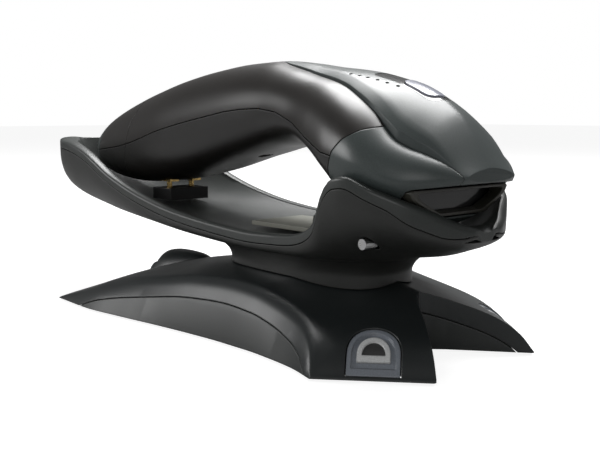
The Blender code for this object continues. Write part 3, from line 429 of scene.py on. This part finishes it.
# ------------------------------------------------------------------ scanner casing
def skin_ring(x, inset=0.0, shaping=None):
    """Cross-section of the scanner at x, with points on the crease and on the top cover's edge."""
    top = curve_at(TOP, x) - inset
    low = curve_at(BOTTOM, x) + inset
    wide = curve_at(HALF_WIDTH, x) - inset
    level = curve_at(WIDEST, x)
    crown, belly = curve_at(CROWN, x), curve_at(BELLY, x)
    crease, edge = (math.asin(min(curve_at(line, x) / wide, 0.97) ** (1 / crown))
                    for line in (CREASE, COVER_EDGE))
    edge = max(edge, crease + 0.02)
    angles = [*np.linspace(0, crease, 10), *np.linspace(crease, edge, 5)[1:],
              *np.linspace(edge, math.pi / 2, 18)[1:]]
    half = []
    for u in angles:
        y = wide * math.sin(u) ** crown
        z = level + (top - level) * max(math.cos(u), 0.0) ** crown
        half.append((x, y, z - (shaping(x, y) if shaping else 0.0)))
    for k in range(1, 25):
        u = math.pi / 2 * k / 24
        half.append((x, wide * max(math.cos(u), 0.0) ** belly, level - (level - low) * math.sin(u) ** belly))
    half[0] = (x, 0.0, top)
    half[-1] = (x, 0.0, low)
    return mirrored(half)


def cheek_fade(x, y):
    """1 at the top cover's edge, falling to 0 towards the casing's widest line."""
    edge, wide = curve_at(COVER_EDGE, x), curve_at(HALF_WIDTH, x)
    share = min(max((y - edge) / max(0.96 * wide - edge, 0.1), 0.0), 1.0)
    return (1 - share) ** 1.6


def cover_chamfer(x, y):
    """How far the top cover's sloping band lies below its crown."""
    crease, edge = curve_at(CREASE, x), curve_at(COVER_EDGE, x)
    share = min(max(y - crease, 0.0) / (edge - crease), 1.0)
    return curve_at(CHAMFER, x) * share * cheek_fade(x, y)


def cheek_step(x, y):
    """How far the cheeks lie below the crown beside the top cover's edge."""
    return (curve_at(STEP, x) + curve_at(CHAMFER, x)) * cheek_fade(x, y)


def scanner_blank(shaping):
    """The hollow casing in one piece, with the mouth cut into the underside of its nose."""
    places = [-96, -95.6, -95, -94.2, -93, -91.5, *stations(-90, 50, 2.8), *stations(51.6, 92, 1.6), 93.2,
              94.5, 95.7, 96.8, 97.7, 98.4, 99]
    blank = loft("blank", [skin_ring(float(x), 0.0, shaping) for x in places])
    hollow = loft("hollow", [skin_ring(float(x), curve_at(CASE_WALL, float(x)))
                             for x in stations(-92.5, 85.4, 7)])
    mouth = prism("mouth", [(MOUTH_X, 49.3), (99, 50.8), (112, 51.4), (112, 20), (84, 20), (86, 37),
                            (MOUTH_X, 40.6)], -40, 40, "y")
    combine(blank, mouth)
    return combine(blank, hollow)


def seam_height(x):
    """Height of the long side seam between the upper and lower handle shells."""
    return curve_at(WIDEST, x)


def side_region(points, low=-45.0, high=45.0):
    return prism("region", points, low, high, "y")


def band_between(x_low, x_high):
    """Side outline between two leaning cross seams, or open-ended where a limit is None."""
    z_low, z_high = 20.0, 110.0
    mid = 57.0
    left = -140.0 if x_low is None else x_low
    right = 140.0 if x_high is None else x_high
    lean_left = 0.0 if x_low is None else SEAM_TILT
    lean_right = 0.0 if x_high is None else SEAM_TILT
    return [(left + lean_left * (z_low - mid), z_low), (right + lean_right * (z_low - mid), z_low),
            (right + lean_right * (z_high - mid), z_high), (left + lean_left * (z_high - mid), z_high)]


def long_seam(gap, x_low=-110.0, x_high=70.0):
    """Points of the side seam, moved up by gap."""
    return [(float(x), seam_height(float(x)) + gap) for x in stations(x_low, x_high, 9)]


def head_rear_edge(gap):
    """Side outline of the head housing's rear edge: from the crease corner round the cheek to the chin."""
    edge = [(84, 67.6), (79, 66), (73, 64.4), (69, 62), (66, 58.6), (64.2, 54), (63, 48), (62.4, 42),
            (62.2, 30)]
    return [(x + gap, z - 0.3 * gap) for x, z in edge]


def cover_outline(grow):
    """Plan of the top cover: a teardrop that runs out in the nose creases."""
    edge = [(float(x), curve_at(COVER_EDGE, float(x)) + grow) for x in
            (18, 19.5, 23, 28, 34, 41, 48, 56, 63, 70, 76, 81, 86, 90, 94, 98.6)]
    start = [(COVER_START_X - grow, 0.0)]
    end = [(112, 5 + grow)]
    right = start + edge + end
    return right + [(x, -y) for x, y in reversed(right[1:])]


def cover_space(grow):
    """The block that the top cover is cut from: its plan outline, down to the edge of the mouth."""
    block = prism("block", cover_outline(grow), 20, 120, "z")
    side = [(-10, 79), (40, 73), (62, 71), (80, 60), (MOUTH_X - 2, 50.5), (112, 45), (112, 120), (-10, 120)]
    return combine(block, side_region([(x, z - grow) for x, z in side]), "INTERSECT")


def split(blank, name, regions, slot, node):
    """The part of the blank casing that lies in every region, standing for the CAD node of that name."""
    piece = duplicate(blank, name)
    for region in regions:
        combine(piece, region, "INTERSECT")
    return settle(piece, slot, "scanner", node)


def window_outline(scale_y=1.0, scale_z=1.0, grow=0.0):
    """Front outline of the bezel: a shallow bowl with three facets and softened corners."""
    half = [(20.4, 49.0), (21.0, 48.4), (20.3, 47.2), (19.6, 46.4), (18.4, 45.6), (11.4, 41.8), (9.6, 41.4)]
    half = [(scale_y * (y + grow), 49.0 + grow + scale_z * (z - 49.0 - (2 * grow if z < 48 else 0.0)))
            for y, z in half]
    return half + [(-y, z) for y, z in reversed(half)]


def window_cutter():
    return loft("window_cutter", [[(x, y, z) for y, z in window_outline(grow=GAP)] for x in (84, 96)])


def rounded_plan(x_low, x_high, half_width, corner, grow=0.0):
    """Plan of a rectangle with round corners."""
    low, high, wide, radius = x_low - grow, x_high + grow, half_width + grow, corner + grow
    points = []
    for cx, cy, start in ((high - radius, wide - radius, 0), (low + radius, wide - radius, 1),
                          (low + radius, radius - wide, 2), (high - radius, radius - wide, 3)):
        for k in range(7):
            angle = math.pi / 2 * (start + k / 6)
            points.append((cx + radius * math.cos(angle), cy + radius * math.sin(angle)))
    return points


def casing():
    """The casing's moulded parts, cut from two blanks along their seams."""
    half = GAP / 2
    cover = scanner_blank(cover_chamfer)
    cover.name = "top_cover_fine"
    combine(cover, cover_space(-half), "INTERSECT")
    for x, y in SPEAKER_HOLES:
        combine(cover, cylinder("hole", (x, y, 80), 0.55, 14, sides=16))
    combine(cover, prism("pocket", rounded_plan(*BUTTON_POCKET, 3.0), 60, 90, "z"))
    combine(cover, window_cutter())
    settle(cover, "satin_grey", "scanner", "top_cover")

    rest = scanner_blank(cheek_step)
    combine(rest, cover_space(half))
    combine(rest, window_cutter())
    for x in CASING_SCREWS:
        level = curve_at(BOTTOM, x)
        combine(rest, cylinder("counterbore", (x, 0, level - 3), 2.7, 2 * 3.4, sides=32))
    for y in PAD_SIDES:
        combine(rest, box("slot", (PAD_X, y, PAD_Z), (PAD_SIZE[0] + 0.6, PAD_SIZE[1] + 0.6, 6)))

    head = [*head_rear_edge(half), (140, 30), (140, 110), (84, 110)]
    split(rest, "head_housing_fine", [side_region(head)], "satin_grey", "head_housing")
    behind_head = [*head_rear_edge(-half), (-140, 30), (-140, 110), (84 - half, 110)]
    combine(rest, side_region(behind_head), "INTERSECT")

    upper = [*long_seam(half), (COVER_REACH_X, seam_height(70.0)), (COVER_REACH_X, 110), (-110, 110)]
    lower = [*long_seam(-half), (70, 20), (-110, 20)]
    handle = band_between(TAIL_SEAM_X + half, None)
    tail = band_between(CAP_SEAM_X + half, TAIL_SEAM_X - half)
    # the lower shells take underside_charcoal, the handle's charcoal darkened as painted shade
    for node, regions, slot in (("handle_upper_shell", (upper, handle), "handle_charcoal"),
                                ("handle_lower_shell", (lower, handle), "underside_charcoal"),
                                ("tail_upper_cover", (upper, tail), "handle_charcoal"),
                                ("tail_lower_cover", (lower, tail), "underside_charcoal"),
                                ("tail_end_cap", (band_between(None, CAP_SEAM_X - half),), "satin_grey")):
        split(rest, node + "_fine", [side_region(points) for points in regions], slot, node)
    bpy.data.objects.remove(rest, do_unlink=True)


def bezel():
    """The frame of the scan window: a raised rim with a funnel down to the pane."""
    front = MOUTH_X + 0.5
    rim = [(86.0, 1.0), (front - 0.5, 1.0), (front, 0.97)]
    frame_piece = loft("window_bezel_fine", [[(x, y, z) for y, z in window_outline(s, s)] for x, s in rim])
    funnel = [[(x, y, z - 0.7) for y, z in window_outline(sy, sz)] for x, sy, sz in
              ((84, 0.80, 0.68), (front - 1.6, 0.84, 0.74), (front + 1, 0.89, 0.80))]
    combine(frame_piece, loft("funnel", funnel))
    settle(frame_piece, "bezel_olive", "scanner", "window_bezel")


def skin_patch(name, outline, outer_inset, inner_inset):
    """A piece of the scanner's skin between two depths, inside a plan outline on its top."""
    places = [float(x) for x in stations(56, 88, 1.6)]
    patch = loft(name, [skin_ring(x, outer_inset) for x in places])
    combine(patch, loft("under", [skin_ring(x, inner_inset) for x in [54.0, *places, 90.0]]))
    return combine(patch, prism("plan", outline, 60, 95, "z"), "INTERSECT")


def trigger():
    surround = skin_patch("button_surround_fine", rounded_plan(*BUTTON_POCKET, 3.0, -GAP / 2), 0.15, 2.2)
    combine(surround, prism("hole", rounded_plan(*BUTTON_PLAN, 3.0, GAP), 60, 90, "z"))
    settle(surround, "window_black", "scanner", "button_surround")
    button = skin_patch("trigger_button_fine", rounded_plan(*BUTTON_PLAN, 3.0), -0.3, 2.4)
    settle(button, "button_lavender", "trigger", "trigger_button")


# ------------------------------------------------------------------ cradle tray
def tray_half_width(x):
    return curve_at(TRAY_WIDTH, x)


def well_width(x):
    return max(tray_half_width(x) - curve_at(LIP, x), 0.35 * tray_half_width(x))


def tray_section(x):
    """Top of the tray's liner at x, from the middle out over the rolled rim: points (y, z)."""
    rim, floor = curve_at(RIM, x), curve_at(WELL, x)
    wide, well = tray_half_width(x), well_width(x)
    points = [(well * k / WELL_STEPS, floor + (rim - 0.5 - floor) * (k / WELL_STEPS) ** 3.2)
              for k in range(WELL_STEPS + 1)]
    middle, reach = (well + wide) / 2, (wide - well) / 2
    for k in range(1, 13):
        angle = math.pi * k / 12
        drop = 0.5 if angle < math.pi / 2 else 1.1
        points.append((middle - reach * math.cos(angle), rim - drop * (1 - math.sin(angle) ** 0.7)))
    return points


def liner_ring(x):
    """Closed section of the liner: its top, its outer band and its underside."""
    top = tray_section(x)
    rim, wide = curve_at(RIM, x), tray_half_width(x)
    drop = rim - curve_at(BAND, x)
    inner_wall = wide - 2.4
    under = [(min(y, inner_wall), z - 1.9 - 0.9 * (y / well_width(x)) ** 2) for y, z in top[:WELL_STEPS + 1]]
    ceiling = rim - 3.3
    half = [(x, y, z) for y, z in top]
    half += [(x, wide, drop), (x, inner_wall + 0.4, drop), (x, inner_wall + 0.4, max(ceiling, drop + 0.05))]
    half += [(x, y, min(z, ceiling)) for y, z in reversed(under)]
    return mirrored(half)


def shell_ring(x):
    """Closed section of the tray's lower shell, flat on top at the seam."""
    seam = curve_at(RIM, x) - curve_at(BAND, x) - GAP
    low = min(curve_at(UNDERSIDE, x), seam - 0.8)
    wide = tray_half_width(x)
    power = curve_at(SHELL_ROUND, x)
    half = [(x, 0.0, seam), (x, wide * 0.5, seam), (x, wide, seam)]
    for k in range(1, 21):
        u = math.pi / 2 * k / 20
        half.append((x, wide * max(math.cos(u), 0.0) ** power, seam - (seam - low) * math.sin(u) ** power))
    half[-1] = (x, 0.0, low)
    return mirrored(half)


def clearance_ring(x):
    """Section of the space above the lower shell that the liner fills, deeper where the liner is steep."""
    ring = liner_ring(x)
    bottom = [(y, z) for _, y, z in ring[:len(ring) // 2 + 1]][-WELL_STEPS - 1:]
    steepness = max(abs(curve_at(line, x + 1) - curve_at(line, x - 1)) for line in (RIM, WELL))
    drop = 2.5 * GAP + 0.25 * steepness
    wall = tray_half_width(x) - 1.7
    half = [(x, 0.0, 90.0), (x, wall, 90.0), (x, wall, bottom[0][1] - drop)]
    half += [(x, min(y, wall - 0.1), z - drop) for y, z in bottom]
    return mirrored(half)


def neck_ring(level, centre, length, width, inset=0.0, sides=22):
    ring = []
    for i in range(sides):
        angle = 2 * math.pi * i / sides
        c, s = math.cos(angle), math.sin(angle)
        ring.append((centre + (length - inset) * math.copysign(abs(c) ** 0.85, c),
                     (width - inset) * math.copysign(abs(s) ** 0.85, s), level))
    return ring


def tray():
    places = [float(x) for x in [-103.5, -102.8, -102, -100.8, -99.4, -98, *stations(-96.5, 50, 2.4),
                                 *stations(51.5, 94, 1.5), 95, 96, 97, 98]]
    settle(loft("tray_liner_fine", [liner_ring(x) for x in places]), "cradle_grey", "cradle", "tray_liner")
    shell = loft("tray_lower_shell_fine", [shell_ring(x) for x in places])
    levels = [(15.0, 32, 34.5, 19.8), *NECK]
    spread_out = [[(level[0], level[k]) for level in levels] for k in (1, 2, 3)]
    rings = [neck_ring(float(z), *(curve_at(line, float(z)) for line in spread_out), sides=72)
             for z in stations(15.0, NECK[-1][0], 0.8)]
    combine(shell, loft("neck", rings), "UNION")
    combine(shell, loft("liner_space", [clearance_ring(x) for x in places]))
    combine(shell, base_block(-GAP))
    combine(shell, cylinder("light_hole", (LIGHT_X, -25, LIGHT_Z), 1.9, 16, "y", sides=32))
    settle(shell, "cradle_dark", "cradle", "tray_lower_shell")


# ------------------------------------------------------------------ cradle base
def toe_distance(x, y):
    """Distance of a plan point in from the front edge of the toe on its side."""
    (x_out, y_out), (x_in, y_in) = TOE_CORNERS
    length = math.hypot(x_in - x_out, y_out - y_in)
    return ((x_in - x) * (y_out - y_in) - (abs(y) - y_in) * (x_in - x_out)) / length


def base_height(x, y):
    """Height of the base's upper surface: a dome between the crests that falls away over the toes."""
    share = min(abs(y) / curve_at(CREST_EDGE, x), 1.0)
    mid, crest = curve_at(BASE_MID, x), curve_at(CREST, x)
    dome = mid + (crest - mid) * share**1.8
    return min(dome, curve_at(TOE_RISE, toe_distance(x, y)))


def base_half_width(x, inset):
    """Half width of the base on the ground."""
    (x_out, y_out), (x_in, y_in) = TOE_CORNERS
    if x <= x_out:
        return curve_at(BASE_EDGE, x) - 1.2 * inset
    return y_out - (x - x_out) * (y_out - y_in) / (x_in - x_out) - 1.3 * inset


def crest_half_width(x, inset=0.0):
    """Half width of the base where its top turns down into its sides."""
    return min(curve_at(CREST_EDGE, x) - 0.7 * inset, base_half_width(x, inset) - 1.0)


def base_ring(x):
    """Closed section of the base at x: domed top, rounded crests, sloping sides and flat underside."""
    ground, crest = base_half_width(x, 0.0), crest_half_width(x)
    level = base_height(x, crest)
    bottom = min(STAND, level - 0.3)
    top = max(level, bottom + 0.3)
    roll = min(CREST_ROLL, 0.8 * (top - bottom) + 0.4)
    start = crest - roll
    half = [(x, start * k / BASE_STEPS, base_height(x, start * k / BASE_STEPS))
            for k in range(BASE_STEPS + 1)]
    side = (crest + 0.62 * (ground - crest), bottom + 0.55 * (top - bottom))
    first, last = half[-1][1:], (crest + 0.45 * (side[0] - crest), top + 0.45 * (side[1] - top))
    for k in range(1, 9):
        t = k / 8
        half.append((x, *((1 - t) ** 2 * a + 2 * t * (1 - t) * b + t * t * c
                          for a, b, c in zip(first, (crest, top), last))))
    return mirrored([*half, (x, *side), (x, ground, bottom), (x, 0.0, bottom)])


def base_solid():
    """The whole base as one block with the notch between its toes."""
    places = [-62.6, -62.2, *stations(-61, 73, 2.2), 74.9, *stations(76, 98.2, 1.2), 99.2]
    block = loft("base_solid", [base_ring(float(x)) for x in places])
    return combine(block, prism("notch", [*NOTCH, *[(x, -y) for x, y in reversed(NOTCH[1:])]], -20, 60, "z"))


def base_block(lower):
    """Everything under the base's upper surface, lowered by the given amount."""
    rings = []
    for x in [-80, -62.6, *stations(-61, 73, 2.7), 74.9, *stations(76.3, 98, 1.6), 99.2, 110]:
        near = min(max(float(x), -62.6), 99.2)
        crest = crest_half_width(near)
        half = [(x, crest * k / BASE_STEPS, base_height(near, crest * k / BASE_STEPS) - lower)
                for k in range(BASE_STEPS + 1)]
        half += [(x, 60.0, half[-1][2]), (x, 60.0, -60.0), (x, 0.0, -60.0)]
        rings.append(mirrored(half))
    return loft("base_block", rings)


def hood_rings(inset, extra=()):
    """Sections of the cable hood, or of the space under it."""
    outline = [*extra, *HOOD]
    wide_line, high_line = [(x, w) for x, w, _ in outline], [(x, h) for x, _, h in outline]
    rings = []
    for x in stations(outline[0][0], outline[-1][0], 1.5):
        wide, high = curve_at(wide_line, float(x)) - inset, curve_at(high_line, float(x)) - inset
        half = [(x, wide * math.sin(u) ** 0.9, high * math.cos(u) ** 0.9)
                for u in (math.pi / 2 * k / 16 for k in range(16))]
        rings.append(mirrored([*half, (x, wide, -5.0), (x, 0.0, -5.0)]))
    return rings


def scoop_place(along, inward, side):
    """Plan point of a foot's scoop, from distances along the toe's edge and in from it."""
    (x_out, y_out), (x_in, y_in) = TOE_CORNERS
    length = math.hypot(x_in - x_out, y_out - y_in)
    edge = ((x_in - x_out) / length, (y_in - y_out) / length)
    x = (x_out + x_in) / 2 + edge[0] * along + edge[1] * inward
    y = (y_out + y_in) / 2 + edge[1] * along - edge[0] * inward
    return x, side * y


def scoop_outline(side, grow):
    """Plan of a scoop: straight sides from the toe, closed by an arch."""
    wide, start = SCOOP_HALF_WIDTH + grow, SCOOP_START - grow
    rise = SCOOP_TOP - SCOOP_SIDES + grow
    points = [(-wide, start)]
    points += [(-wide * math.cos(math.pi * k / 28), SCOOP_SIDES + rise * math.sin(math.pi * k / 28))
               for k in range(29)]
    points.append((wide, start))
    return [scoop_place(a, b, side) for a, b in points]


def slab_below(level):
    return prism("slab", [(-90, -60), (110, -60), (110, 60), (-90, 60)], -20, level, "z")


def scoop(side, label):
    """A clear insert in the toe: a dished plate, a bright arch standing in it, and a dark floor."""
    insert = prism(f"scoop_plate_{label}", scoop_outline(side, 0), -1, 30, "z")
    slab = base_block(0.3)
    combine(slab, base_block(2.6))
    combine(insert, slab, "INTERSECT")
    combine(insert, slab_below(STAND))
    dish = prism("dish", scoop_outline(side, -1.2), -1, 40, "z")
    combine(dish, base_block(1.1))
    combine(insert, dish)
    settle(insert, "clear_insert", "cradle", f"scoop_insert_{label}")
    arch = prism(f"scoop_arch_{label}", scoop_outline(side, -2.6), 1, 30, "z")
    combine(arch, prism("inside", scoop_outline(side, -3.9), -1, 40, "z"))
    band = base_block(0.5)
    combine(band, base_block(1.1))
    combine(arch, band, "INTERSECT")
    settle(arch, "arch_silver", "cradle")
    floor = prism(f"scoop_floor_{label}", scoop_outline(side, -3.95), 1, 30, "z")
    film = base_block(0.95)
    combine(film, base_block(1.1))
    combine(floor, film, "INTERSECT")
    settle(floor, "smoked_insert", "cradle")


def base():
    top = base_solid()
    combine(top, slab_below(STAND))
    lower = duplicate(top, "base_bottom_housing_fine")
    combine(top, loft("hood", hood_rings(0)), "UNION")
    combine(top, loft("hood_inside", hood_rings(WALL, [(-57, 10.5, 14.6)])[:-7]))
    combine(top, box("channel", (-60, 0, 10), (20, 2 * CHANNEL_HALF_WIDTH, 16)))
    combine(top, base_block(BAND_HEIGHT))
    for side in (-1, 1):
        combine(top, prism("scoop", scoop_outline(side, GAP), -1, 30, "z"))
    combine(top, slab_below(STAND))
    top.name = "base_top_shell_fine"
    settle(top, "base_blue_grey", "cradle", "base_top_shell")

    combine(lower, base_block(BAND_HEIGHT + GAP), "INTERSECT")
    combine(lower, box("channel", (-60, 0, 10), (20, 2 * CHANNEL_HALF_WIDTH, 16)))
    combine(lower, box("socket_room", (-46, 0, 9.4), (9.6, 12.8, 12)))
    for x, y in FEET:
        combine(lower, cylinder("foot_pocket", (x, y, 0), 6.3, 2 * 2.0, sides=48))
    for x, y in BASE_BOSSES:
        combine(lower, cylinder("counterbore", (x, y, 0), 2.8, 2 * 2.8, sides=32))
    settle(lower, "base_side", "cradle", "base_bottom_housing")
    for side, label in ((-1, "right"), (1, "left")):
        scoop(side, label)


# ------------------------------------------------------------------ carried-over CAD nodes and the studio
def dress_frame(nodes):
    """Give every CAD node that stays visible the finish of its own slot."""
    for node in nodes.values():
        for slot in node.material_slots:
            name = slot.material.name.split(".")[0]
            if not name.endswith("_finish"):
                slot.material = finish_material(name)


def softbox(name, place, aim, size, power):
    data = bpy.data.lights.new(name, "AREA")
    data.shape = "RECTANGLE"
    data.size, data.size_y = size
    data.energy = power
    light = bpy.data.objects.new(name, data)
    light.location = place
    light.rotation_euler = (Vector(aim) - Vector(place)).to_track_quat("-Z", "Y").to_euler()
    bpy.context.scene.collection.objects.link(light)


def seen_level(tree, seen, cast):
    """Brightness of a backdrop as seen directly, and as the light it casts on the object."""
    path = tree.nodes.new("ShaderNodeLightPath")
    level = tree.nodes.new("ShaderNodeMapRange")
    level.inputs["To Min"].default_value = cast
    level.inputs["To Max"].default_value = seen
    link(tree, path, "Is Camera Ray", level, "Value")
    return level


def studio():
    """A plain pale floor under one large overhead softbox and two side fills."""
    mesh = bmesh.new()
    bmesh.ops.create_grid(mesh, x_segments=1, y_segments=1, size=4.0)
    data = bpy.data.meshes.new("studio_floor")
    mesh.to_mesh(data)
    mesh.free()
    floor = bpy.data.objects.new("studio_floor", data)
    PARTS.objects.link(floor)
    material = bpy.data.materials.new("studio_white")
    material.use_nodes = True
    shader = material.node_tree.nodes["Principled BSDF"]
    shader.inputs["Base Color"].default_value = (0.30, 0.30, 0.30, 1.0)
    shader.inputs["Roughness"].default_value = 0.9
    shader.inputs["Specular IOR Level"].default_value = 0.1
    shader.inputs["Emission Color"].default_value = (1.0, 1.0, 1.0, 1.0)
    link(material.node_tree, seen_level(material.node_tree, 0.88, 0.0), "Result", shader, "Emission Strength")
    data.materials.append(material)

    world = bpy.data.worlds.new("studio_world")
    world.use_nodes = True
    background = world.node_tree.nodes["Background"]
    background.inputs["Color"].default_value = (1.0, 1.0, 1.0, 1.0)
    link(world.node_tree, seen_level(world.node_tree, 1.0, 0.16), "Result", background, "Strength")
    bpy.context.scene.world = world
    softbox("overhead", *OVERHEAD)
    softbox("left_fill", *LEFT_FILL)
    softbox("near_fill", *NEAR_FILL)


def camera():
    """Eye-level view of the nose from its right, slightly from above."""
    data = bpy.data.cameras.new("camera")
    data.lens, data.sensor_width, data.clip_start = CAMERA_LENS, 36.0, 0.01
    item = bpy.data.objects.new("camera", data)
    turn, dip = math.radians(CAMERA_TURN), math.radians(CAMERA_DIP)
    gaze = Vector((-math.sin(turn) * math.cos(dip), math.cos(turn) * math.cos(dip), -math.sin(dip)))
    item.location = CAMERA_PLACE
    item.rotation_euler = gaze.to_track_quat("-Z", "Y").to_euler()
    bpy.context.scene.collection.objects.link(item)
    bpy.context.scene.camera = item


for leftover in list(bpy.data.objects):
    bpy.data.objects.remove(leftover, do_unlink=True)
PARTS = bpy.data.collections.new("scanner_set")
bpy.context.scene.collection.children.link(PARTS)
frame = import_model()
bpy.context.scene.view_settings.view_transform = "Standard"
camera()
studio()
casing()
bezel()
trigger()
tray()
base()
dress_frame(frame["nodes"])
